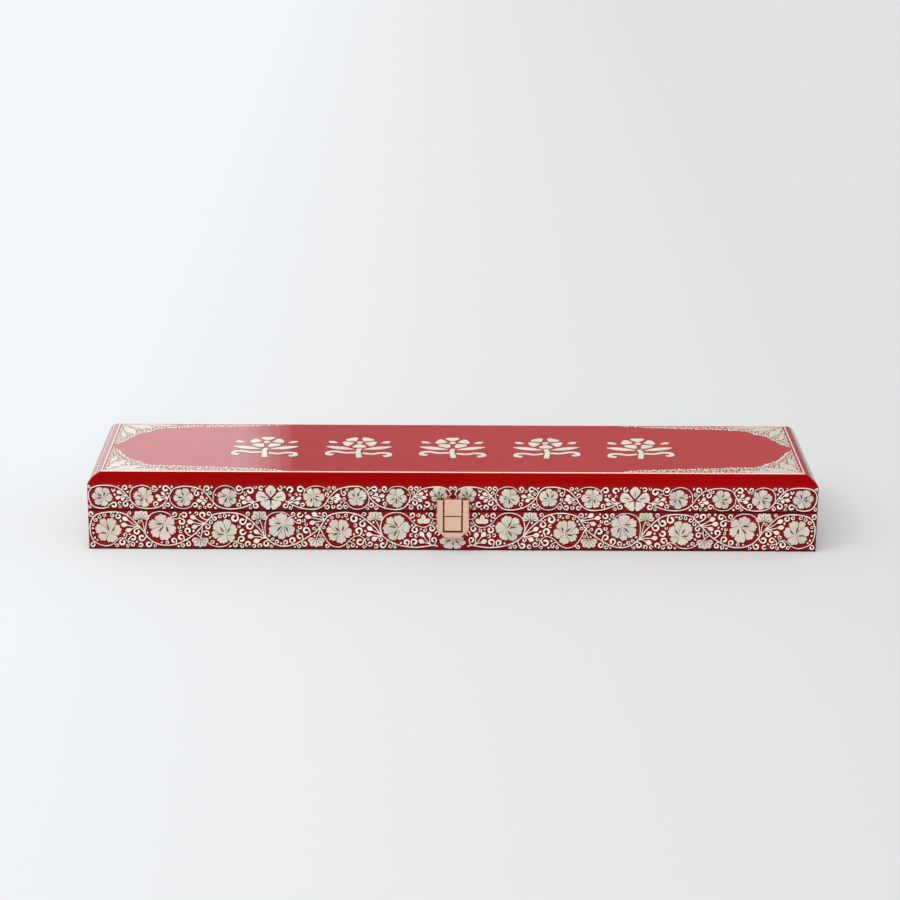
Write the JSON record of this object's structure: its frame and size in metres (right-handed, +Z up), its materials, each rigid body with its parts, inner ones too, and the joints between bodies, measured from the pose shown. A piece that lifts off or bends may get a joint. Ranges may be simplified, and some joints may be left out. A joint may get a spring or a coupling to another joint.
{
  "type": "mahjong case",
  "caption": "Long slim hinged case in deep red lacquer with pearl scrollwork inlay, a front push latch and lift-out tile trays inside.",
  "frame": {"origin": "middle of the underside, on the plane the case rests on", "axes": "+X along the case to the right as seen from the latch side, +Y from the latch side to the hinge side, +Z up"},
  "size_m": [0.52, 0.1499, 0.0554],
  "materials": {
    "red_lacquer": "high gloss lacquer on wood",
    "pearl": "polished shell inlay",
    "rose_gold": "polished rose gold plate",
    "hinge_brass": "satin rose gold plate",
    "steel": "plain steel",
    "flock": "short flocking on card",
    "tray_wood": "satin lacquer on wood",
    "panel_wood": "satin lacquer on wood"
  },
  "bodies": {
    "base": {"base_front_board": "red_lacquer", "base_back_board": "red_lacquer", "base_left_board": "red_lacquer", "base_right_board": "red_lacquer", "base_floor_panel": "panel_wood", "base_floor_card": "flock", "base_front_inlay": "pearl", "base_back_inlay": "pearl", "base_left_inlay": "pearl", "base_right_inlay": "pearl", "latch_housing": "rose_gold", "latch_spring": "steel", "base_hinge_leaf_left": "hinge_brass", "base_hinge_leaf_right": "hinge_brass", "hinge_pins": "steel", "base_hinge_screws": "steel", "tray_left_frame": "tray_wood", "tray_left_floor": "tray_wood", "tray_left_divider": "tray_wood", "tray_left_cards": "flock", "tray_right_frame": "tray_wood", "tray_right_floor": "tray_wood", "tray_right_divider": "tray_wood", "tray_right_cards": "flock"},
    "lid": {"lid_top_panel": "red_lacquer", "lid_front_rail": "red_lacquer", "lid_back_rail": "red_lacquer", "lid_left_rail": "red_lacquer", "lid_right_rail": "red_lacquer", "lid_lining_card": "flock", "lid_front_inlay": "pearl", "lid_back_inlay": "pearl", "lid_left_inlay": "pearl", "lid_right_inlay": "pearl", "lid_top_border": "pearl", "lid_corner_inlay": "pearl", "lid_top_motifs": "pearl", "lid_hinge_leaf_left": "hinge_brass", "lid_hinge_leaf_right": "hinge_brass", "lid_hinge_screws": "steel", "latch_hasp": "rose_gold", "hasp_rivets": "steel"},
    "latch_button": {"latch_button": "rose_gold", "latch_slider": "steel"}
  },
  "joints": [
    {"name": "lid_hinge", "type": "hinge", "parent": "base", "child": "lid", "pos_m": [0, 0.0713, 0.02915], "axis": [-1, 0, 0], "range_deg": [0, 95]},
    {"name": "latch_button_slide", "type": "slide", "parent": "base", "child": "latch_button", "axis": [0, 0, -1], "range_m": [0, 0.00085], "stiffness_N_per_m": 600, "springref_m": -0.002, "deforming": ["latch_spring"]}
  ]
}
